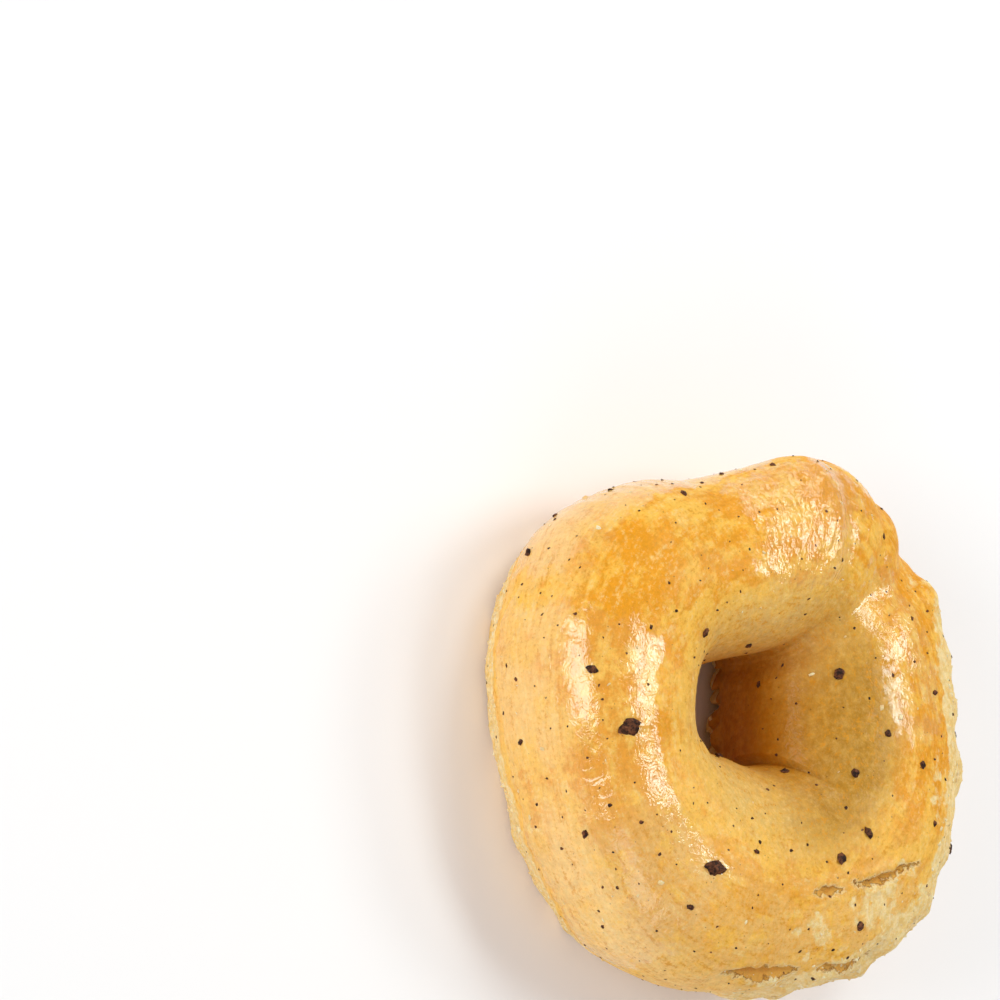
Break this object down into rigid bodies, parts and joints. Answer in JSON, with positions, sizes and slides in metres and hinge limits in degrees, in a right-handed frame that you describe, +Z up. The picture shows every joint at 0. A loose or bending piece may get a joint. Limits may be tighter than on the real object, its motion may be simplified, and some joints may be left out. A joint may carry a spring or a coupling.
{
  "type": "tarallo",
  "caption": "Small ring-shaped boiled and baked dough biscuit with a glossy crust, a lapped joint, a rough foot and cracked pepper.",
  "frame": {"origin": "middle of the outline, at the bottom of the foot", "axes": "+Z up out of the shown side of the ring, along the hole; the lapped joint lies towards -X and +Y"},
  "size_m": [0.0394, 0.0396, 0.0156],
  "materials": {
    "crust": "baked dough crust with a dull gloss"
  },
  "bodies": {
    "root": {"tarallo": "crust"}
  },
  "joints": []
}
